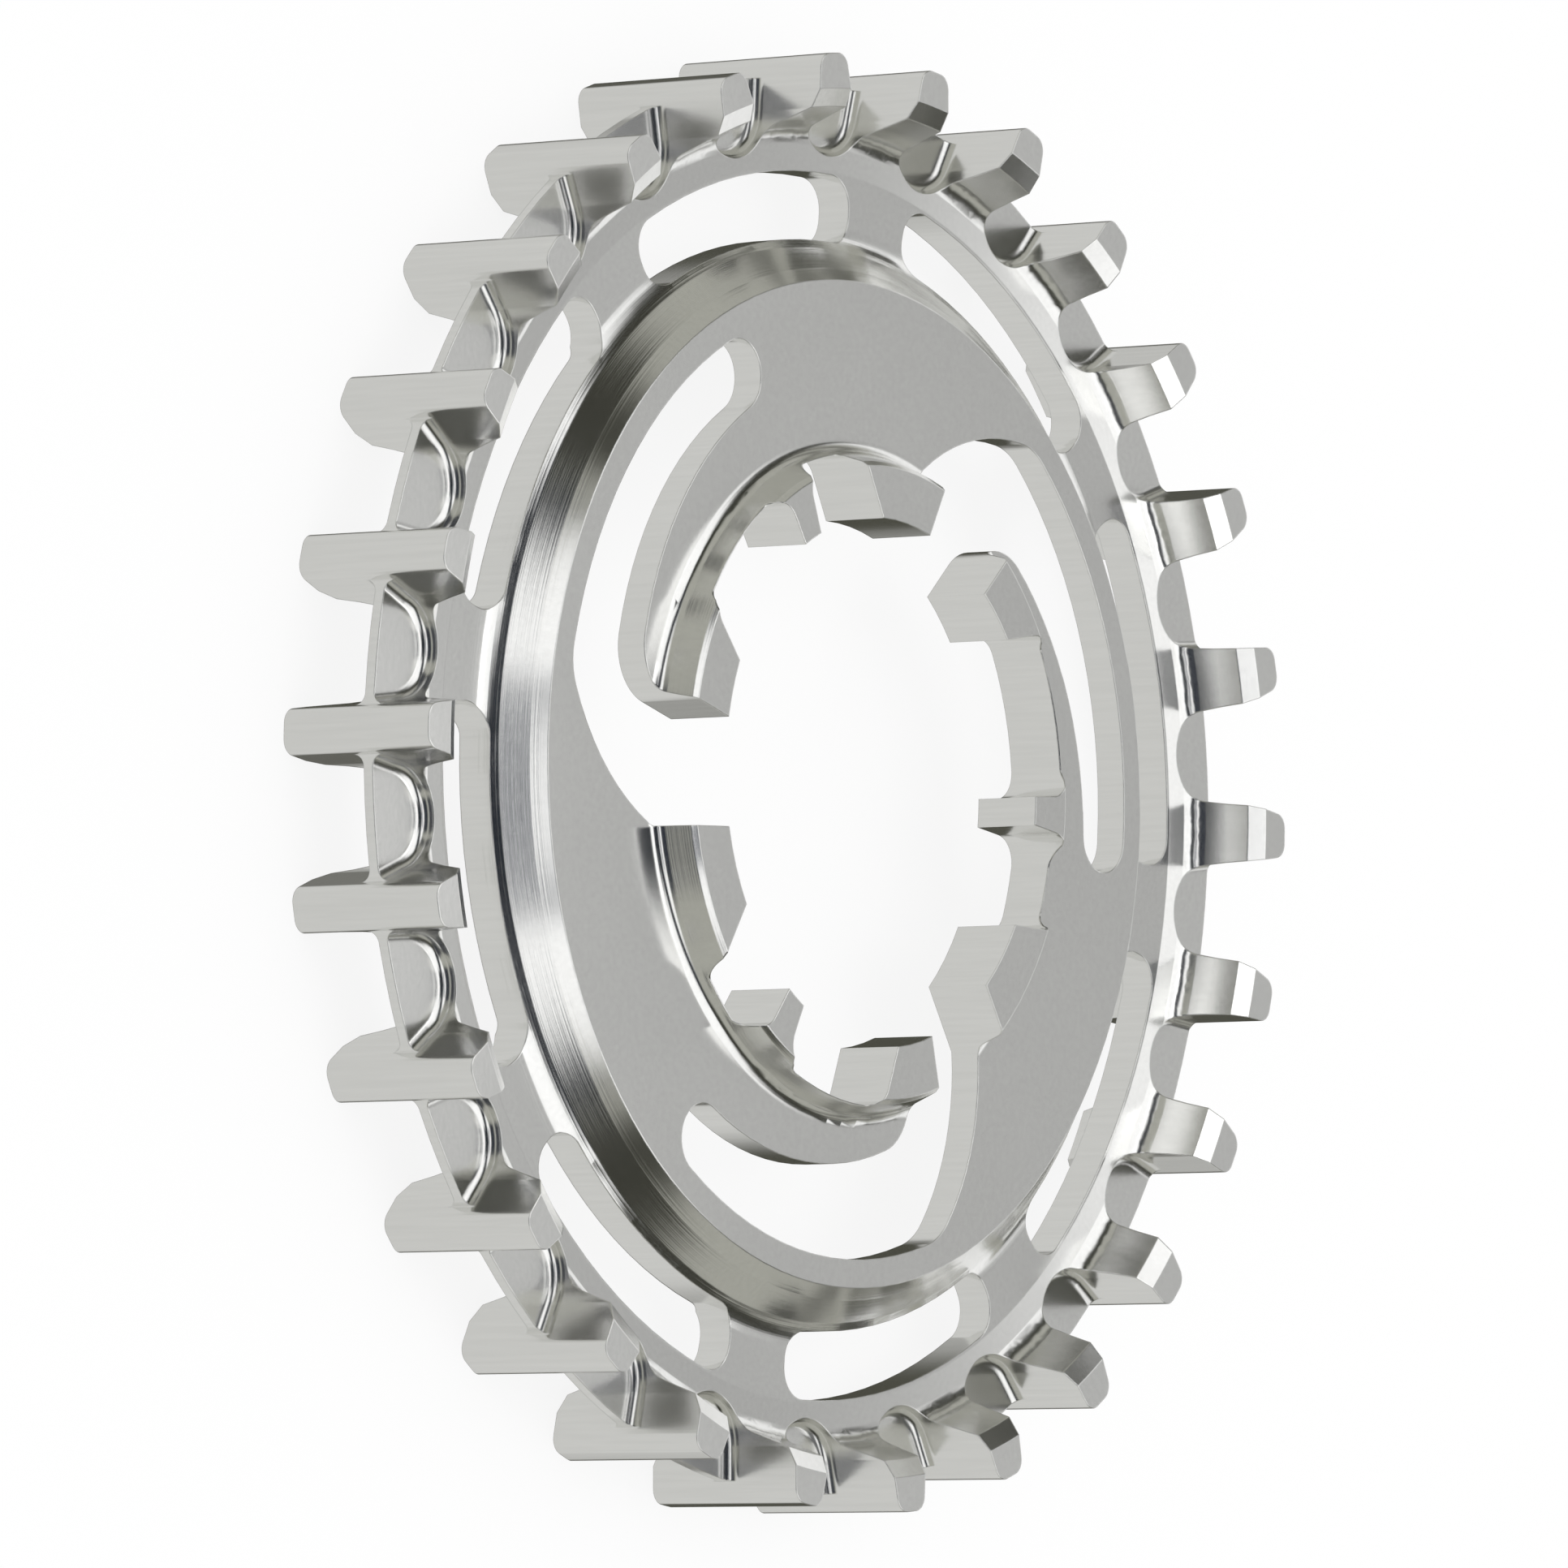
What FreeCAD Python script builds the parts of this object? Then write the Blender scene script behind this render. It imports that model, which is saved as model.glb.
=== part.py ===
import FreeCAD, Part
import os
from math import acos, asin, atan2, cos, degrees, hypot, pi, radians, sin

import Sketcher

# One-piece belt sprocket in millimetres: the axis is Z, the rear ends of the teeth stand on Z = 0, and the
# collar is at the front, on top. Angles are in degrees from X, anticlockwise seen from the front.

doc = FreeCAD.newDocument("BeltSprocket")
FLAT = 0.001
RUN_OUT = 2.0

# Driving sizes
SIZES = [
    ("BeltPitch", 11.0, "distance from tooth to tooth on the belt's pitch line"),
    ("ToothCount", 26, "teeth"),
    ("PitchLineRise", 0.97, "height of the pitch line above the lands of the teeth"),
    ("ToothLength", 10.78, "teeth, from end face to end face"),
    ("LandWidth", 2.565, "width of a tooth at its land, before its corners are rounded"),
    ("FlankAngle", 8.6, "each flank's angle to the middle of its tooth"),
    ("LandRound", 0.95, "rounding between land and flank"),
    ("GapRound", 3.32, "round floor between two teeth"),
    ("ToothTurn", -5.85, "angle of one tooth"),
    ("FinDrop", 1.2, "edge of the fin between the belt's halves, below the lands"),
    ("FinThickness", 0.67, "fin"),
    ("FinFilletShare", 0.92, "fillet at the fin's foot, as a share of the web beside the fin"),
    ("EndFaceWidth", 2.15, "flat end face of a tooth, from its land inwards"),
    ("LipWidth", 1.1, "bevel along the inner edge of the end face"),
    ("LipDepth", 0.6, "drop of that bevel"),
    ("UndersideWidth", 1.15, "how far the inner side of a tooth's end leans inwards from bevel to web"),
    ("ToothFootFillet", 1.3, "fillet there"),
    ("WebThickness", 2.28, "web, centred on the teeth like the fin"),
    ("RimWidth", 2.55, "from the inner side of the teeth to the slots"),
    ("RimRise", 0.2, "how much the web's faces rise along the rim"),
    ("RimFlat", 0.2, "flat strip between the slots and that rise"),
    ("SlotCount", 8, "slots in the web"),
    ("SlotWidth", 4.2, "slots, along the radius"),
    ("SlotSpan", 35.7, "angle from end to end of a slot"),
    ("SlotTurn", 8.3, "angle of the middle of one slot"),
    ("SlotEndFlat", 0.4, "straight part of a slot's end, between its two round corners"),
    ("BossFootReach", 0.17, "from the slots' inner walls outwards to the corner of boss and web"),
    ("BossSideWidth", 2.0, "how far the boss's side leans inwards"),
    ("BossFillet", 2.3, "hollow fillet from the boss to the web"),
    ("BossBevelWidth", 0.77, "bevel of the boss's edge"),
    ("BossBevelDrop", 0.8, "drop of that bevel"),
    ("PlateRise", 3.79, "front of the hub plate, above the middle of the teeth"),
    ("PlateThickness", 2.0, "hub plate"),
    ("DishStep", 0.82, "from the boss's side inwards to the rear hollow, which widens at 45 degrees"),
    ("BoreRadius", 16.15, "tips of the lugs"),
    ("CollarWall", 3.48, "collar at its top, from the tips of the lugs outwards"),
    ("CollarSlope", 0.82, "how much wider the collar is at the hub plate"),
    ("CollarRise", 2.35, "collar, above the hub plate"),
    ("CollarBevel", 0.28, "bevel of the collar's edge"),
    ("CollarFillet", 0.9, "fillet from the collar to the hub plate"),
    ("ArmCount", 3, "swirl arms, each with its cut-out"),
    ("CutoutRim", 2.52, "from the boss's side inwards to the outer wall of the cut-outs"),
    ("CutoutEndRound", 2.17, "narrow end of a cut-out"),
    ("CutoutEndTurn", -8.7, "angle of the middle of the narrow end"),
    ("ArmEdgeRadius", 22.15, "curve of an arm's outer edge"),
    ("NoseRound", 3.4, "rounding of an arm's free end"),
    ("NoseRise", 3.1, "middle of that rounding, from the tips of the lugs outwards"),
    ("NoseTurn", 33.4, "angle of that middle"),
    ("FreeEndTurn", 45.2, "angle of an arm's free end at the bore"),
    ("ThroatRadius", 15.2, "curve of a cut-out's wide end"),
    ("ThroatHeight", 5.75, "middle of that curve, across the arm's zero angle"),
    ("ThroatRound", 4.0, "corner between the wide end and the outer wall"),
    ("RootRise", 4.55, "where the wide end meets the root of the next arm, from the lugs' tips outwards"),
    ("RootTurn", 65.6, "angle of that place"),
    ("RootBoreTurn", 69.5, "angle of the root of the next arm at the bore"),
    ("NarrowLugStart", -10.9, "angle of one tip corner of the narrow lug"),
    ("NarrowLugEnd", -4.6, "angle of its other tip corner"),
    ("NarrowLugTaper", 6.0, "each side of the narrow lug, to its middle"),
    ("WideLugEnd", -34.4, "angle of the tip corner of the wide lug at an arm's root"),
    ("EndLugStart", 31.5, "angle of the tip corner of the lug at an arm's free end"),
    ("WideLugTaper", 27.0, "side of a wide lug, to the line from the axis"),
    ("GrooveDepthA", 3.6, "groove between the free end's lug and the narrow lug"),
    ("GrooveDepthB", 3.95, "groove between the narrow lug and the wide lug"),
    ("GrooveRound", 1.7, "corners of both grooves"),
]

sheet = doc.addObject("Spreadsheet::Sheet", "Sizes")
for row, (alias, value, note) in enumerate(SIZES, start=1):
    sheet.set("A%d" % row, note)
    sheet.set("B%d" % row, str(value))
    sheet.setAlias("B%d" % row, alias)
doc.recompute()


class Size:
    """A length or angle that carries its number and the expression that ties it to the sheet."""

    def __init__(self, value, text=None):
        self.value = float(value)
        self.text = repr(value) if text is None else text

    def _with(self, other, sign, result):
        other = other if isinstance(other, Size) else Size(other)
        return Size(result(self.value, other.value), "(%s %s %s)" % (self.text, sign, other.text))

    def __add__(self, other):
        return self._with(other, "+", lambda a, b: a + b)

    def __sub__(self, other):
        return self._with(other, "-", lambda a, b: a - b)

    def __mul__(self, other):
        return self._with(other, "*", lambda a, b: a * b)

    def __truediv__(self, other):
        return self._with(other, "/", lambda a, b: a / b)

    def __neg__(self):
        return Size(-self.value, "(0 - %s)" % self.text)


S = {alias: Size(value, "Sizes." + alias) for alias, value, note in SIZES}


def sine(angle):
    return Size(sin(radians(angle.value)), "sin(%s)" % angle.text)


def cosine(angle):
    return Size(cos(radians(angle.value)), "cos(%s)" % angle.text)


def polar(distance, angle):
    """A place at a distance from the axis and an angle."""
    return distance * cosine(angle), distance * sine(angle)


# Sizes that follow from the driving ones: heights
middle = S["ToothLength"] / 2
web_front = middle + S["WebThickness"] / 2
web_rear = middle - S["WebThickness"] / 2
plate_front = middle + S["PlateRise"]
plate_rear = plate_front - S["PlateThickness"]
collar_front = plate_front + S["CollarRise"]

# and radii, from the lands inwards and from the bore outwards
half_pitch = Size(180) / S["ToothCount"]
tip_radius = S["BeltPitch"] * S["ToothCount"] / (2 * pi) - S["PitchLineRise"]
fin_radius = tip_radius - S["FinDrop"]
end_face_radius = tip_radius - S["EndFaceWidth"]
lip_radius = end_face_radius - S["LipWidth"]
tooth_foot_radius = lip_radius - S["UndersideWidth"]
slot_outer_radius = tooth_foot_radius - S["RimWidth"]
slot_inner_radius = slot_outer_radius - S["SlotWidth"]
boss_foot_radius = slot_inner_radius + S["BossFootReach"]
boss_radius = boss_foot_radius - S["BossSideWidth"]
cutout_radius = boss_radius - S["CutoutRim"]
collar_radius = S["BoreRadius"] + S["CollarWall"]
collar_foot_radius = collar_radius + S["CollarSlope"]

body = doc.addObject("PartDesign::Body", "Sprocket")
body.Label = "sprocket"


def plane(role):
    return next(f for f in body.Origin.OriginFeatures if f.Role == role)


class Outline:
    """A sketch on one of the body's planes, tied to the sheet as it is drawn."""

    def __init__(self, name, role="XY_Plane", turn=None, height=None):
        self.sketch = body.newObject("Sketcher::SketchObject", name)
        self.sketch.AttachmentSupport = [(plane(role), "")]
        self.sketch.MapMode = "FlatFace"
        if turn is not None:
            self.sketch.AttachmentOffset = FreeCAD.Placement(
                FreeCAD.Vector(0, 0, 0), FreeCAD.Rotation(FreeCAD.Vector(0, 0, 1), turn.value))
            self.sketch.setExpression("AttachmentOffset.Rotation.Angle", turn.text)
        if height is not None:
            self.sketch.AttachmentOffset = FreeCAD.Placement(
                FreeCAD.Vector(0, 0, height.value), FreeCAD.Rotation())
            self.sketch.setExpression("AttachmentOffset.Base.z", height.text)

    def line(self, start, end):
        a, b = (FreeCAD.Vector(p[0].value, p[1].value, 0) for p in (start, end))
        return self.sketch.addGeometry(Part.LineSegment(a, b))

    def arc(self, centre, radius, first, last):
        """Arc drawn anticlockwise; its numbers only start the sketch's solver near the answer."""
        circle = Part.Circle(FreeCAD.Vector(centre[0], centre[1], 0), FreeCAD.Vector(0, 0, 1), radius)
        return self.sketch.addGeometry(Part.ArcOfCircle(circle, radians(first), radians(last)))

    def ring(self, radius):
        circle = Part.Circle(FreeCAD.Vector(0, 0, 0), FreeCAD.Vector(0, 0, 1), radius.value)
        geometry = self.sketch.addGeometry(circle)
        self.centre_on_axis(geometry)
        self.tie("Radius", geometry, size=radius)

    def middle_line(self, geometry, angle):
        """Tie a line to a line from the axis at an angle."""
        self.sketch.addConstraint(Sketcher.Constraint("PointOnObject", -1, 1, geometry))
        self.tie("Angle", geometry, size=angle)

    def tie(self, kind, *where, size):
        value = radians(size.value) if kind == "Angle" else size.value
        number = self.sketch.addConstraint(Sketcher.Constraint(kind, *where, value))
        self.sketch.setExpression("Constraints[%d]" % number, size.text)

    def place(self, geometry, point, at):
        """Tie a point of a line or arc to its two coordinates."""
        self.tie("DistanceX", -1, 1, geometry, point, size=at[0])
        self.tie("DistanceY", -1, 1, geometry, point, size=at[1])

    def centre_on_axis(self, geometry):
        self.sketch.addConstraint(Sketcher.Constraint("Coincident", geometry, 3, -1, 1))

    def join(self, first, first_end, second, second_end):
        self.sketch.addConstraint(Sketcher.Constraint("Coincident", first, first_end, second, second_end))

    def smooth(self, first, first_end, second, second_end):
        self.sketch.addConstraint(Sketcher.Constraint("Tangent", first, first_end, second, second_end))

    def polygon(self, corners):
        """Closed outline of straight sides through corners."""
        sides = [self.line(corner, corners[(i + 1) % len(corners)]) for i, corner in enumerate(corners)]
        for i, side in enumerate(sides):
            self.join(side, 2, sides[(i + 1) % len(sides)], 1)
            self.place(side, 1, corners[i])


def feature(kind, name, profile=None):
    made = body.newObject("PartDesign::" + kind, name)
    if profile is not None:
        made.Profile = profile
    return made


def cut_through(name, outline):
    """Pocket through the whole sprocket, which has to take some metal away."""
    before = body.Tip.Shape.Volume
    pocket = feature("Pocket", name, outline.sketch)
    pocket.Type = "ThroughAll"
    pocket.SideType = "Symmetric"
    doc.recompute()
    if not pocket.Shape.Volume < before - 0.01:
        raise RuntimeError(name + " cuts nothing")
    return pocket


def around(name, originals, count):
    """Copies evenly around the axis."""
    pattern = feature("PolarPattern", name)
    pattern.Originals = originals
    pattern.Axis = (plane("Z_Axis"), [""])
    pattern.Angle = 360
    pattern.Occurrences = int(count.value)
    pattern.setExpression("Occurrences", count.text)
    body.Tip = pattern
    doc.recompute()
    return pattern


def rings(shape, places):
    """Names of the circular edges round the axis at the given (radius, height) places."""
    names = []
    for number, edge in enumerate(shape.Edges, start=1):
        curve = edge.Curve
        if isinstance(curve, Part.Circle) and hypot(curve.Center.x, curve.Center.y) < FLAT:
            if any(abs(curve.Radius - r.value) < FLAT and abs(curve.Center.z - z.value) < FLAT
                   for r, z in places):
                names.append("Edge%d" % number)
    return names


def fillet(name, radius, edges):
    """Fillet on the edges of the body so far."""
    base = body.Tip
    made = feature("Fillet", name)
    made.Base = (base, edges)
    made.Radius = radius.value
    made.setExpression("Radius", radius.text)
    doc.recompute()
    if "Invalid" in made.State or made.Shape.isNull():
        raise RuntimeError("%s has no room on its %d edges" % (name, len(edges)))
    return made


# Turned blank: half of its section, from the bore outwards along the front and back along the rear
lip_front, lip_rear = S["ToothLength"] - S["LipDepth"], S["LipDepth"]
foot_front, foot_rear = web_front + S["RimRise"], web_rear - S["RimRise"]
dish_radius = boss_radius - S["DishStep"]
section = Outline("TurnedSection", "XZ_Plane")
section.polygon([
    (S["BoreRadius"], collar_front),
    (collar_radius - S["CollarBevel"], collar_front),
    (collar_radius, collar_front - S["CollarBevel"]),
    (collar_foot_radius, plate_front),
    (boss_radius - S["BossBevelWidth"], plate_front),
    (boss_radius, plate_front - S["BossBevelDrop"]),
    (boss_foot_radius, web_front),
    (slot_outer_radius + S["RimFlat"], web_front),
    (tooth_foot_radius, foot_front),
    (lip_radius, lip_front),
    (end_face_radius, S["ToothLength"]),
    (tip_radius, S["ToothLength"]),
    (tip_radius, Size(0)),
    (end_face_radius, Size(0)),
    (lip_radius, lip_rear),
    (tooth_foot_radius, foot_rear),
    (slot_outer_radius + S["RimFlat"], web_rear),
    (dish_radius + (plate_rear - web_rear), web_rear),
    (dish_radius, plate_rear),
    (S["BoreRadius"], plate_rear),
])
blank = feature("Revolution", "Blank", section.sketch)
blank.ReferenceAxis = (section.sketch, ["V_Axis"])
blank.Angle = 360
doc.recompute()

fillet("ToothFootFillets", S["ToothFootFillet"],
       rings(blank.Shape, [(tooth_foot_radius, foot_front), (tooth_foot_radius, foot_rear)]))
fillet("BossFillet", S["BossFillet"], rings(body.Tip.Shape, [(boss_foot_radius, web_front)]))
fillet("CollarFootFillet", S["CollarFillet"], rings(body.Tip.Shape, [(collar_foot_radius, plate_front)]))

def heading(start, end):
    return degrees(atan2(end[1] - start[1], end[0] - start[0]))


def rounding(start, direction, side, radius, circle):
    """Middle of an arc that touches a line and a circle round the axis, and its foot on the line."""
    ux, uy = cos(radians(direction)), sin(radians(direction))
    near_x, near_y = start[0] - uy * side * radius, start[1] + ux * side * radius
    along = -(near_x * ux + near_y * uy)
    along += ((circle - radius) ** 2 - (near_x * -uy + near_y * ux) ** 2) ** 0.5
    foot = (Size(start[0] + ux * along), Size(start[1] + uy * along))
    return (near_x + ux * along, near_y + uy * along), foot


# Gap between two teeth, drawn about its middle: round floor, straight flanks, rounded corners at the lands.
# Its mouth ends a little before the middle of each land, so that two gaps don't touch.
mouth_angle = half_pitch * 0.97
opening_angle = half_pitch + S["FlankAngle"]
corner_x = tip_radius * cosine(half_pitch) + S["LandWidth"] / 2 * sine(half_pitch)
corner_y = tip_radius * sine(half_pitch) - S["LandWidth"] / 2 * cosine(half_pitch)
floor_middle = corner_x - (corner_y * cosine(opening_angle) - S["GapRound"]) / sine(opening_angle)
beyond = tip_radius + RUN_OUT
gap = Outline("ToothGap", turn=S["ToothTurn"] + half_pitch)
lean = opening_angle.value
floor = gap.arc((floor_middle.value, 0), S["GapRound"].value, 90 + lean, 270 - lean)
gap.place(floor, 3, (floor_middle, Size(0)))
gap.tie("Radius", floor, size=S["GapRound"])
walls = []
for side in (1, -1):
    foot = (Size(floor_middle.value - S["GapRound"].value * sin(radians(lean))),
            Size(S["GapRound"].value * cos(radians(lean)) * side))
    bend_at, top = rounding((corner_x.value, corner_y.value * side), lean * side, side,
                            S["LandRound"].value, tip_radius.value)
    outward, mouth = heading((0, 0), bend_at), mouth_angle.value * side
    flank = gap.line(foot, top)
    gap.smooth(floor, 1 if side > 0 else 2, flank, 1)
    first, last = (lean - 90, outward) if side > 0 else (outward, 90 - lean)
    bend = gap.arc(bend_at, S["LandRound"].value, first, last)
    gap.tie("Radius", bend, size=S["LandRound"])
    gap.smooth(flank, 2, bend, 1 if side > 0 else 2)
    gap.tie("Angle", flank, size=opening_angle if side > 0 else -opening_angle)
    land = gap.arc((0, 0), tip_radius.value, min(outward, mouth), max(outward, mouth))
    gap.centre_on_axis(land)
    gap.tie("Radius", land, size=tip_radius)
    gap.smooth(bend, 2 if side > 0 else 1, land, 1 if side > 0 else 2)
    angle = mouth_angle if side > 0 else -mouth_angle
    wall = gap.line(polar(tip_radius, angle), polar(beyond, angle))
    gap.join(land, 2 if side > 0 else 1, wall, 1)
    gap.tie("DistanceY", -1, 1, wall, 1, size=polar(tip_radius, angle)[1])
    gap.place(wall, 2, polar(beyond, angle))
    walls.append(wall)
lid = gap.line(polar(beyond, mouth_angle), polar(beyond, -mouth_angle))
gap.join(walls[0], 2, lid, 1)
gap.join(walls[1], 2, lid, 2)
first_gap = cut_through("FirstToothGap", gap)
around("ToothGaps", [first_gap], S["ToothCount"])

# Fin: a ring between the belt's halves that shows only in the gaps
ring = Outline("FinRing", height=middle)
for radius in (fin_radius, slot_outer_radius):
    ring.ring(radius)
fin = feature("Pad", "Fin", ring.sketch)
fin.SideType = "Symmetric"
fin.Length = S["FinThickness"].value
fin.setExpression("Length", S["FinThickness"].text)
doc.recompute()

# Its foot is filleted all along each gap's round floor and flanks
half_fin = S["FinThickness"].value / 2
fin_feet = []
for number, edge in enumerate(fin.Shape.Edges, start=1):
    centre = edge.CenterOfMass
    on_fin = edge.BoundBox.ZLength < FLAT and abs(abs(centre.z - middle.value) - half_fin) < FLAT
    along_gap = abs(hypot(centre.x, centre.y) - fin_radius.value) > S["FinDrop"].value / 8
    if on_fin and along_gap and hypot(edge.Vertexes[0].X, edge.Vertexes[0].Y) < tip_radius.value:
        fin_feet.append("Edge%d" % number)
fillet("FinFillets", (S["WebThickness"] - S["FinThickness"]) / 2 * S["FinFilletShare"], fin_feet)

# Slots in the web, each with two long walls round the axis, two ends towards the axis and four round corners
reach = S["SlotSpan"] / 2
slot_corner = (S["SlotWidth"] - S["SlotEndFlat"]) / 2
slot = Outline("Slot", turn=S["SlotTurn"])
inner_corner_radius = (slot_inner_radius + slot_corner).value
outer_corner_radius = (slot_outer_radius - slot_corner).value
inner_turn = reach.value - degrees(asin(slot_corner.value / inner_corner_radius))
outer_turn = reach.value - degrees(asin(slot_corner.value / outer_corner_radius))
slot_walls = [slot.arc((0, 0), slot_inner_radius.value, -inner_turn, inner_turn),
              slot.arc((0, 0), slot_outer_radius.value, -outer_turn, outer_turn)]
for wall, radius in zip(slot_walls, (slot_inner_radius, slot_outer_radius)):
    slot.centre_on_axis(wall)
    slot.tie("Radius", wall, size=radius)
for side in (1, -1):
    angle = reach if side > 0 else -reach
    square = angle.value + 90 * side
    end_wall = slot.line(polar(slot_inner_radius + slot_corner, angle),
                         polar(slot_outer_radius - slot_corner, angle))
    for wall, distance, turn, inward, point in (
            (slot_walls[0], inner_corner_radius, inner_turn * side, 180, 1),
            (slot_walls[1], outer_corner_radius, outer_turn * side, 0, 2)):
        corner_at = (distance * cos(radians(turn)), distance * sin(radians(turn)))
        ends = [square, turn + inward * side]
        forward = (side > 0) == (inward > 0)
        first, last = ends if forward else ends[::-1]
        bend = slot.arc(corner_at, slot_corner.value, first, last)
        slot.tie("Radius", bend, size=slot_corner)
        slot.smooth(wall, 2 if side > 0 else 1, bend, 2 if forward else 1)
        slot.smooth(end_wall, point, bend, 1 if forward else 2)
    slot.middle_line(end_wall, angle)
first_slot = cut_through("FirstSlot", slot)
around("Slots", [first_slot], S["SlotCount"])


def meet(first, first_reach, second, second_reach, high):
    """Where two circles cross: a start for the middle of an arc that touches both."""
    (ax, ay), (bx, by) = first, second
    gap_length = hypot(bx - ax, by - ay)
    along = (first_reach ** 2 - second_reach ** 2 + gap_length ** 2) / (2 * gap_length)
    across = max(first_reach ** 2 - along ** 2, 0) ** 0.5 * (1 if high else -1)
    ux, uy = (bx - ax) / gap_length, (by - ay) / gap_length
    return ax + ux * along - uy * across, ay + uy * along + ux * across


def numbers(place):
    return place[0].value, place[1].value


# Swirl cut-out, drawn anticlockwise from its narrow end, with the bore at its open side
end_middle = polar(cutout_radius - S["CutoutEndRound"], S["CutoutEndTurn"])
nose_middle = polar(S["BoreRadius"] + S["NoseRise"], S["NoseTurn"])
root_corner = polar(S["BoreRadius"] + S["RootRise"], S["RootTurn"])
in_bore = S["BoreRadius"] - RUN_OUT
free_end_start = polar(in_bore, S["FreeEndTurn"])
root_start = polar(in_bore, S["RootBoreTurn"])
end_at, nose_at, root_at = numbers(end_middle), numbers(nose_middle), numbers(root_corner)
throat_drop = root_at[1] - S["ThroatHeight"].value
throat_at = (root_at[0] + (S["ThroatRadius"].value ** 2 - throat_drop ** 2) ** 0.5, S["ThroatHeight"].value)
corner_at = meet((0, 0), cutout_radius.value - S["ThroatRound"].value,
                 throat_at, S["ThroatRadius"].value - S["ThroatRound"].value, True)
edge_at = meet(end_at, S["ArmEdgeRadius"].value + S["CutoutEndRound"].value,
               nose_at, S["ArmEdgeRadius"].value - S["NoseRound"].value, True)
swirl = Outline("SwirlCutout")
outer = swirl.arc((0, 0), cutout_radius.value, S["CutoutEndTurn"].value, heading((0, 0), corner_at))
corner_turn, root_turn = heading(throat_at, corner_at), heading(throat_at, root_at)
corner = swirl.arc(corner_at, S["ThroatRound"].value, heading((0, 0), corner_at), corner_turn)
throat = swirl.arc(throat_at, S["ThroatRadius"].value, corner_turn, root_turn)
root_wall = swirl.line(root_corner, root_start)
across_bore = swirl.line(root_start, free_end_start)
free_end_at = numbers(free_end_start)
free_end_length = hypot(free_end_at[0] - nose_at[0], free_end_at[1] - nose_at[1])
nose_end = heading(nose_at, free_end_at) - degrees(acos(S["NoseRound"].value / free_end_length))
nose_foot = (Size(nose_at[0] + S["NoseRound"].value * cos(radians(nose_end))),
             Size(nose_at[1] + S["NoseRound"].value * sin(radians(nose_end))))
free_end = swirl.line(free_end_start, nose_foot)
nose = swirl.arc(nose_at, S["NoseRound"].value, heading(edge_at, nose_at), nose_end)
arm_edge = swirl.arc(edge_at, S["ArmEdgeRadius"].value, heading(edge_at, end_at), heading(edge_at, nose_at))
narrow_end_turn = S["CutoutEndTurn"].value + 360
narrow = swirl.arc(end_at, S["CutoutEndRound"].value, heading(end_at, edge_at), narrow_end_turn)
swirl.centre_on_axis(outer)
swirl.tie("Radius", outer, size=cutout_radius)
for arc, radius in ((corner, "ThroatRound"), (throat, "ThroatRadius"),
                    (nose, "NoseRound"), (arm_edge, "ArmEdgeRadius"), (narrow, "CutoutEndRound")):
    swirl.tie("Radius", arc, size=S[radius])
swirl.smooth(outer, 2, corner, 1)
swirl.smooth(corner, 2, throat, 1)
swirl.join(throat, 2, root_wall, 1)
swirl.place(root_wall, 1, root_corner)
swirl.tie("DistanceY", -1, 1, throat, 3, size=S["ThroatHeight"])
swirl.join(root_wall, 2, across_bore, 1)
swirl.place(across_bore, 1, root_start)
swirl.join(across_bore, 2, free_end, 1)
swirl.place(free_end, 1, free_end_start)
swirl.smooth(free_end, 2, nose, 2)
swirl.place(nose, 3, nose_middle)
swirl.smooth(nose, 1, arm_edge, 2)
swirl.smooth(arm_edge, 1, narrow, 1)
swirl.smooth(narrow, 2, outer, 1)
swirl.tie("DistanceY", -1, 1, narrow, 3, size=end_middle[1])
cutout = cut_through("FirstCutout", swirl)


def groove(name, low_tip, low_heading, high_tip, high_heading, floor_radius):
    """Groove between two lugs: each side runs from its tip corner at the bore along its heading."""
    cut = Outline(name)
    floor = floor_radius.value
    radius = S["GrooveRound"].value
    bends = []
    for tip, direction, side in ((low_tip, low_heading, 1), (high_tip, high_heading, -1)):
        tip_x, tip_y = polar(S["BoreRadius"], tip)
        start = (tip_x - cosine(direction) * RUN_OUT, tip_y - sine(direction) * RUN_OUT)
        bend_at, end = rounding(numbers((tip_x, tip_y)), direction.value, side, radius, floor)
        wall = cut.line(start, end)
        cut.place(wall, 1, start)
        cut.tie("Angle", wall, size=direction)
        outward = heading((0, 0), bend_at)
        first, last = (direction.value - 90, outward) if side > 0 else (outward, direction.value + 90)
        bend = cut.arc(bend_at, radius, first, last)
        cut.tie("Radius", bend, size=S["GrooveRound"])
        cut.smooth(wall, 2, bend, 1 if side > 0 else 2)
        bends.append((bend, outward, wall, start))
    bottom = cut.arc((0, 0), floor, bends[0][1], bends[1][1])
    cut.centre_on_axis(bottom)
    cut.tie("Radius", bottom, size=floor_radius)
    cut.smooth(bends[0][0], 2, bottom, 1)
    cut.smooth(bends[1][0], 1, bottom, 2)
    lid = cut.line(bends[0][3], bends[1][3])
    cut.join(bends[0][2], 1, lid, 1)
    cut.join(bends[1][2], 1, lid, 2)
    return cut_through("First" + name, cut)


narrow_middle = (S["NarrowLugStart"] + S["NarrowLugEnd"]) / 2
groove_a = groove("GrooveA", S["NarrowLugEnd"], narrow_middle + S["NarrowLugTaper"],
                  S["EndLugStart"], S["EndLugStart"] - S["WideLugTaper"], S["BoreRadius"] + S["GrooveDepthA"])
groove_b = groove("GrooveB", S["WideLugEnd"], S["WideLugEnd"] + S["WideLugTaper"], S["NarrowLugStart"],
                  narrow_middle - S["NarrowLugTaper"], S["BoreRadius"] + S["GrooveDepthB"])
around("SwirlArms", [cutout, groove_a, groove_b], S["ArmCount"])

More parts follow.
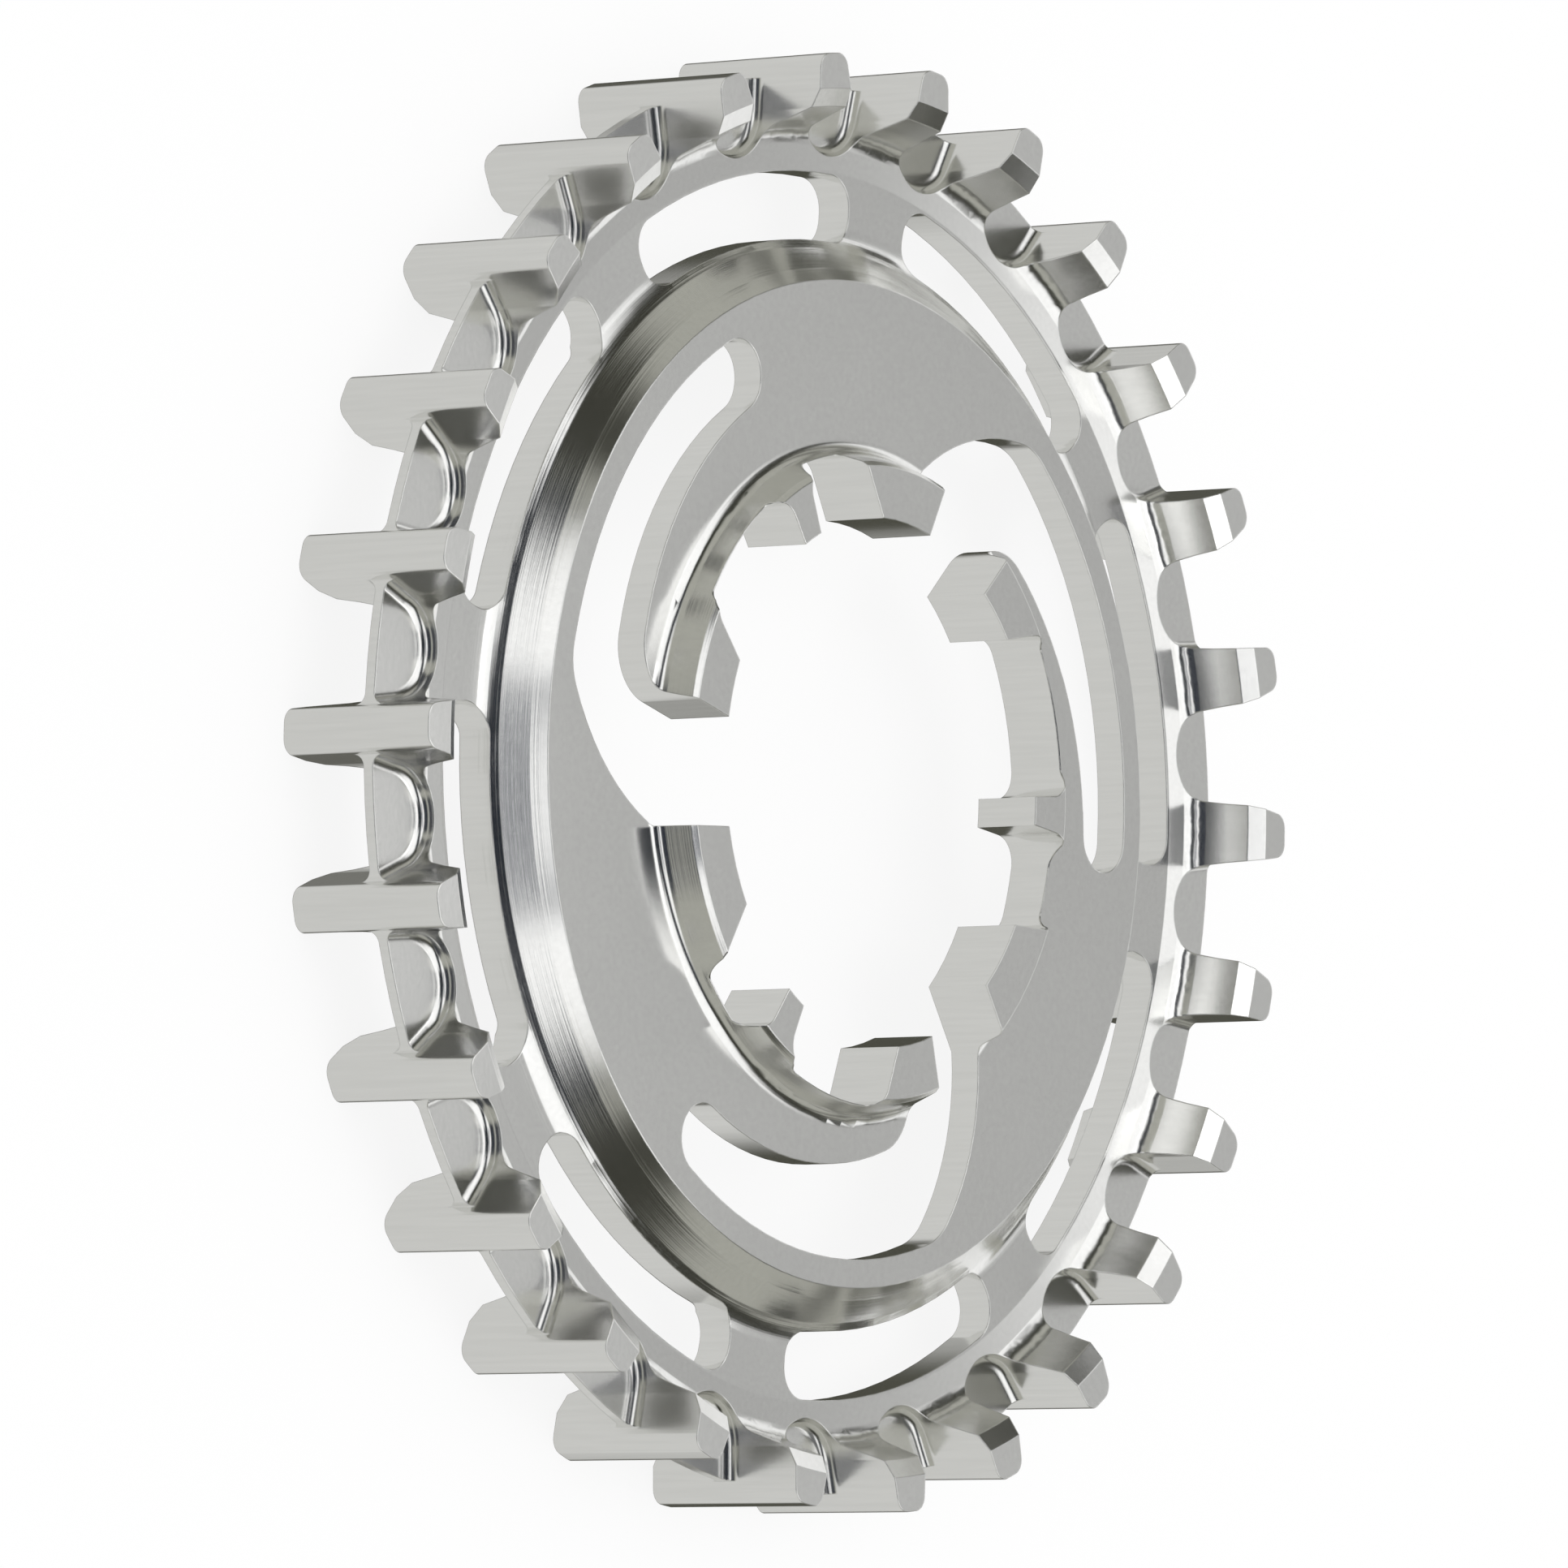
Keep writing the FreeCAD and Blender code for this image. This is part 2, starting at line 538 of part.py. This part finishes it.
# Every feature has to be sound before the part is written
for item in doc.Objects:
    if "Invalid" in item.State or "Error" in item.State:
        raise RuntimeError(item.Name + " is broken")
sprocket = body.Tip.Shape
if sprocket.isNull() or not sprocket.isValid() or len(sprocket.Solids) != 1:
    raise RuntimeError("the sprocket isn't one sound solid")
os.makedirs("parts", exist_ok=True)
sprocket.exportStep("parts/sprocket.step")
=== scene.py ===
from math import radians

import bpy
from mathutils import Matrix

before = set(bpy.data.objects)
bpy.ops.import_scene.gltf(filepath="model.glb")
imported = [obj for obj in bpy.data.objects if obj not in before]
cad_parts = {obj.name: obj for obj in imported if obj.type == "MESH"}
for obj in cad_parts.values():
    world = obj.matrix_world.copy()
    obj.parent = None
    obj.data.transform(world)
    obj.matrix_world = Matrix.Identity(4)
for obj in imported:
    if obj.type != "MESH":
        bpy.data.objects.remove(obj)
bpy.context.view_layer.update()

# Sprocket
# One piece of aluminium, turned to its section, then milled: tooth gaps, slots, curved cut-outs and lug grooves.
# It has the bright finish of machined metal: the teeth are lightly brushed, the sides of the boss and the collar
# show turning marks, and the edges are lightly broken.
ALUMINIUM = (0.86, 0.86, 0.845, 1)
ALUMINIUM_LIGHT = (0.90, 0.90, 0.885, 1)
EDGE_BREAK = 0.00012
GRAIN_SCALE = 5000.0
CLOUD_SCALE = 60.0
BRUSH_SCALE = 3000.0
BRUSH_STRETCH = (1.0, 1.0, 0.05)
BRUSH_RANGE = (0.2, 0.8)
TURNING_SCALE = 9000.0
BOSS_INNER, BOSS_OUTER = (0.0308, 0.0316), (0.0340, 0.0356)
COLLAR_INNER, COLLAR_OUTER = (0.0193, 0.0196), (0.0205, 0.0212)
TOOTH_FOOT = (0.0392, 0.0400)
COLLAR_TURNING = 0.7
BRUSHING, TOOTH_BRUSHING = 0.04, 0.20
GRAIN_HEIGHT = 0.03
MARK_DEPTH = 0.00002
MARK_STRENGTH = 0.35
SHINE = 0.13
SHINE_CLOUD, SHINE_GRAIN, SHINE_TEETH = 0.04, 0.03, 0.03


class Socket:
    """One output of a shader node, with arithmetic that adds the nodes it needs."""

    def __init__(self, tree, output):
        self.tree = tree
        self.output = output

    def node(self, kind, values=(), out=0, **settings):
        """Any node: its settings are set first, then its sockets' values or links by name or number."""
        made = self.tree.nodes.new(kind)
        for name, setting in settings.items():
            setattr(made, name, setting)
        for name, value in dict(values).items():
            self.feed(made.inputs[name], value)
        return Socket(self.tree, made.outputs[out] if made.outputs else None)

    def feed(self, socket, value):
        if isinstance(value, Socket):
            self.tree.links.new(value.output, socket)
        else:
            socket.default_value = value

    def math(self, operation, other=0.0):
        return self.node("ShaderNodeMath", {0: self, 1: other}, operation=operation)

    def __add__(self, other):
        return self.math("ADD", other)

    __radd__ = __add__

    def __sub__(self, other):
        return self.math("SUBTRACT", other)

    def __rsub__(self, other):
        return self.node("ShaderNodeMath", {0: other, 1: self}, operation="SUBTRACT")

    def __mul__(self, other):
        return self.math("MULTIPLY", other)

    __rmul__ = __mul__

    def stretch(self, scale):
        return self.node("ShaderNodeVectorMath", {0: self, 1: scale}, operation="MULTIPLY")

    def split(self):
        """The three parts of a vector."""
        made = self.node("ShaderNodeSeparateXYZ", {0: self})
        return [Socket(self.tree, part) for part in made.output.node.outputs]

    def above(self, low, high):
        """0 below low, 1 above high, and smooth between."""
        return self.node("ShaderNodeMapRange", {"Value": self, "From Min": low, "From Max": high},
                         interpolation_type="SMOOTHSTEP")

    def below(self, low, high):
        """1 below low, 0 above high, and smooth between."""
        return 1 - self.above(low, high)

    def mix(self, first, second):
        """Colour from first to second as this value goes from 0 to 1."""
        made = self.tree.nodes.new("ShaderNodeMix")
        made.data_type = "RGBA"
        factor_input, first_input, second_input, colour_output = 0, 6, 7, 2
        self.feed(made.inputs[factor_input], self)
        self.feed(made.inputs[first_input], first)
        self.feed(made.inputs[second_input], second)
        return Socket(self.tree, made.outputs[colour_output])


def material(name):
    made = bpy.data.materials.new(name)
    made.use_nodes = True
    made.node_tree.nodes.clear()
    return made, Socket(made.node_tree, None)


def noise(shader, place, scale, detail):
    return shader.node("ShaderNodeTexNoise", {"Vector": place, "Scale": scale, "Detail": detail})


aluminium, shader = material("turned aluminium")
place = shader.node("ShaderNodeTexCoord", out="Object")
across, along, height = place.split()
radius = (across * across + along * along).math("POWER", 0.5)
section = shader.node("ShaderNodeCombineXYZ", {"X": radius, "Y": height})
grain = noise(shader, place, GRAIN_SCALE, 2.0)
cloud = noise(shader, place, CLOUD_SCALE, 3.0)
brushed = noise(shader, place.stretch(BRUSH_STRETCH), BRUSH_SCALE, 3.0)
turned = noise(shader, section, TURNING_SCALE, 4.0)
boss_side = radius.above(*BOSS_INNER) * radius.below(*BOSS_OUTER)
collar_side = radius.above(*COLLAR_INNER) * radius.below(*COLLAR_OUTER)
teeth = radius.above(*TOOTH_FOOT)
turning_marks = turned * (boss_side + collar_side * COLLAR_TURNING)
brush_marks = brushed * (BRUSHING + teeth * TOOTH_BRUSHING)
broken_edge = shader.node("ShaderNodeBevel", {"Radius": EDGE_BREAK}, samples=6)
surface_marks = shader.node("ShaderNodeBump", {
    "Height": turning_marks + brush_marks + grain * GRAIN_HEIGHT,
    "Strength": MARK_STRENGTH,
    "Distance": MARK_DEPTH,
    "Normal": broken_edge,
})
metal = shader.node("ShaderNodeBsdfPrincipled", {
    "Base Color": brushed.above(*BRUSH_RANGE).mix(ALUMINIUM, ALUMINIUM_LIGHT),
    "Metallic": 1.0,
    "Roughness": SHINE + cloud * SHINE_CLOUD + grain * SHINE_GRAIN + teeth * SHINE_TEETH,
    "Normal": surface_marks,
})
shader.node("ShaderNodeOutputMaterial", {"Surface": metal})
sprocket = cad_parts["sprocket"]
sprocket.data.materials.clear()
sprocket.data.materials.append(aluminium)

# Floor
# A pale sweep of paper that the sprocket lies on; it goes to white for the camera and keeps a soft shadow.
# The metal doesn't mirror it: it mirrors the studio below the horizon instead.
FLOOR_HALF = 3.0
FLOOR_PAPER = (0.86, 0.86, 0.86, 1)
FLOOR_WHITE = 0.86
WHITE = (1, 1, 1, 1)
corners = [(-FLOOR_HALF, -FLOOR_HALF, 0), (FLOOR_HALF, -FLOOR_HALF, 0),
           (FLOOR_HALF, FLOOR_HALF, 0), (-FLOOR_HALF, FLOOR_HALF, 0)]
floor_mesh = bpy.data.meshes.new("floor")
floor_mesh.from_pydata(corners, [], [(0, 1, 2, 3)])
floor = bpy.data.objects.new("floor", floor_mesh)
bpy.context.scene.collection.objects.link(floor)
paper, shader = material("pale paper")
seen = shader.node("ShaderNodeLightPath", out="Is Camera Ray")
matt = shader.node("ShaderNodeBsdfDiffuse", {"Color": FLOOR_PAPER})
glow = shader.node("ShaderNodeEmission", {"Color": WHITE, "Strength": 1.0})
surface = shader.node("ShaderNodeMixShader", {0: seen * FLOOR_WHITE, 1: matt, 2: glow})
shader.node("ShaderNodeOutputMaterial", {"Surface": surface})
floor_mesh.materials.append(paper)
floor.visible_glossy = False

# Studio
# What the metal mirrors: a white ceiling with a dark arch, hatch and panel in it, a dark doorway behind the
# camera, olive side walls under dark shelves, a pale far wall with a grey band that the flat faces show, striped
# far corners, and a pale floor that is dark at the far side. Matt things are lit evenly.
CEILING = (1.12, 1.12, 1.12, 1)
ARCH = (0.012, 0.015, 0.022, 1)
PANEL = (0.05, 0.06, 0.085, 1)
DOORWAY = (0.03, 0.034, 0.045, 1)
SIDE_WALL = (0.40, 0.40, 0.36, 1)
FAR_WALL = (0.95, 0.95, 0.95, 1)
FACE_BAND = (0.39, 0.39, 0.385, 1)
SHELF = (0.03, 0.03, 0.022, 1)
GROUND = (0.64, 0.64, 0.625, 1)
FAR_GROUND = (0.07, 0.07, 0.055, 1)
STRIPE = (0.13, 0.13, 0.115, 1)
MATT_LIGHT = (0.95, 0.95, 0.95, 1)

# Each edge of a part runs from where it starts to where it is complete, along one axis of a unit direction.
CEILING_FOOT = (0.63, 0.68)
ARCH_SHIFT, ARCH_LEAN = 0.31, 0.25
ARCH_NEAR, ARCH_FAR = (-0.17, -0.12), (0.16, 0.22)
HATCH_NEAR, HATCH_FAR, HATCH_SIDE = (-0.20, -0.14), (0.12, 0.18), (0.20, 0.28)
PANEL_NEAR, PANEL_FAR, PANEL_SIDE = (-0.605, -0.575), (-0.50, -0.47), (0.28, 0.36)
SHELF_FOOT, SHELF_TOP, SHELF_SIDE, SHELF_NEAR = (0.43, 0.49), (0.69, 0.74), (0.22, 0.32), (-0.22, -0.12)
BAND_FOOT = (0.38, 0.48)
FAR_PART = (0.20, 0.50)
CORNER_START, CORNER_END = (0.40, 0.50), (0.74, 0.80)
STRIPE_RATE, STRIPE_EDGE = 48.0, (-0.4, 0.4)
DOOR_FAR, DOOR_SIDE, DOOR_FOOT = (-0.72, -0.60), (0.45, 0.60), (0.02, 0.20)
HORIZON = (-0.16, -0.02)
FAR_GROUND_START = (0.45, 0.72)

world = bpy.data.worlds.new("studio")
bpy.context.scene.world = world
world.use_nodes = True
world.node_tree.nodes.clear()
shader = Socket(world.node_tree, None)
sideways, crossways, upwards = shader.node("ShaderNodeTexCoord", out="Generated").split()
outwards = crossways.math("ABSOLUTE")

stripes = (outwards * STRIPE_RATE).math("SINE").above(*STRIPE_EDGE)
corner = outwards.above(*CORNER_END).mix(stripes.mix(SIDE_WALL, STRIPE), SIDE_WALL)
far_wall = upwards.above(*BAND_FOOT).mix(FAR_WALL, FACE_BAND)
far_part = outwards.above(*CORNER_START).mix(far_wall, corner)
doorway = sideways.below(*DOOR_FAR) * outwards.below(*DOOR_SIDE) * upwards.above(*DOOR_FOOT)
near_part = doorway.mix(SIDE_WALL, DOORWAY)
walls = sideways.above(*FAR_PART).mix(near_part, far_part)
ground = sideways.above(*FAR_GROUND_START).mix(GROUND, FAR_GROUND)
lower = upwards.above(*HORIZON).mix(ground, walls)

leaning = sideways + ARCH_SHIFT - outwards * ARCH_LEAN
arch = leaning.above(*ARCH_NEAR) * leaning.below(*ARCH_FAR)
hatch = sideways.above(*HATCH_NEAR) * sideways.below(*HATCH_FAR) * outwards.below(*HATCH_SIDE)
panel = sideways.above(*PANEL_NEAR) * sideways.below(*PANEL_FAR) * outwards.below(*PANEL_SIDE)
ceiling = arch.math("MAXIMUM", hatch).mix(panel.mix(CEILING, PANEL), ARCH)

room = upwards.above(*CEILING_FOOT).mix(lower, ceiling)
shelf_side = outwards.above(*SHELF_SIDE) * sideways.above(*SHELF_NEAR)
shelf = shelf_side * upwards.above(*SHELF_FOOT) * upwards.below(*SHELF_TOP)
room = shelf.mix(room, SHELF)
camera_ray = shader.node("ShaderNodeLightPath", out="Is Camera Ray")
diffuse_ray = shader.node("ShaderNodeLightPath", out="Is Diffuse Ray")
colour = camera_ray.mix(diffuse_ray.mix(room, MATT_LIGHT), WHITE)
background = shader.node("ShaderNodeBackground", {"Color": colour, "Strength": 1.0})
shader.node("ShaderNodeOutputWorld", {"Surface": background})

# Lamps
# A softbox above gives the floor its soft shadow, and the metal doesn't mirror it. A small strip light is what the
# bevels of the far teeth mirror, where they would show the hatch.
SOFTBOX_SIZE, SOFTBOX_POWER, SOFTBOX_PLACE = (0.9, 0.9), 3.0, (-0.1, 0.1, 1.1)
STRIP_SIZE, STRIP_POWER, STRIP_PLACE = (0.020, 0.040), 0.003, (0.044, 0, 0.101)


def area_lamp(name, size, power, place):
    lamp = bpy.data.lights.new(name, "AREA")
    lamp.shape = "RECTANGLE"
    lamp.size, lamp.size_y = size
    lamp.energy = power
    stand = bpy.data.objects.new(name, lamp)
    stand.location = place
    bpy.context.scene.collection.objects.link(stand)
    return stand


softbox = area_lamp("softbox", SOFTBOX_SIZE, SOFTBOX_POWER, SOFTBOX_PLACE)
softbox.visible_glossy = False
area_lamp("strip light", STRIP_SIZE, STRIP_POWER, STRIP_PLACE)

# Camera
# A long lens that looks at the sprocket's front from the left, as the photograph was taken. It is tilted about the
# middle of the teeth's front and rolled a little; ASIDE and ABOVE put that middle off the picture's middle.
TILT = radians(53.917)
ROLL = radians(2.442)
DISTANCE = 0.934945
ASIDE, ABOVE = 0.0054339, 0.0000827
FRONT_HEIGHT = 0.01078
SENSOR = 36.0
LENS = 352.055
FARTHEST_SEEN = 20
lens = bpy.data.cameras.new("camera")
lens.sensor_width = SENSOR
lens.lens = LENS
lens.clip_end = FARTHEST_SEEN
camera = bpy.data.objects.new("camera", lens)
bpy.context.scene.collection.objects.link(camera)
camera.matrix_world = (Matrix.Translation((0, 0, FRONT_HEIGHT)) @ Matrix.Rotation(-TILT, 4, "Y")
                       @ Matrix.Rotation(-ROLL, 4, "Z") @ Matrix.Translation((-ASIDE, -ABOVE, DISTANCE)))
bpy.context.scene.camera = camera

bpy.context.scene.view_settings.view_transform = "Standard"
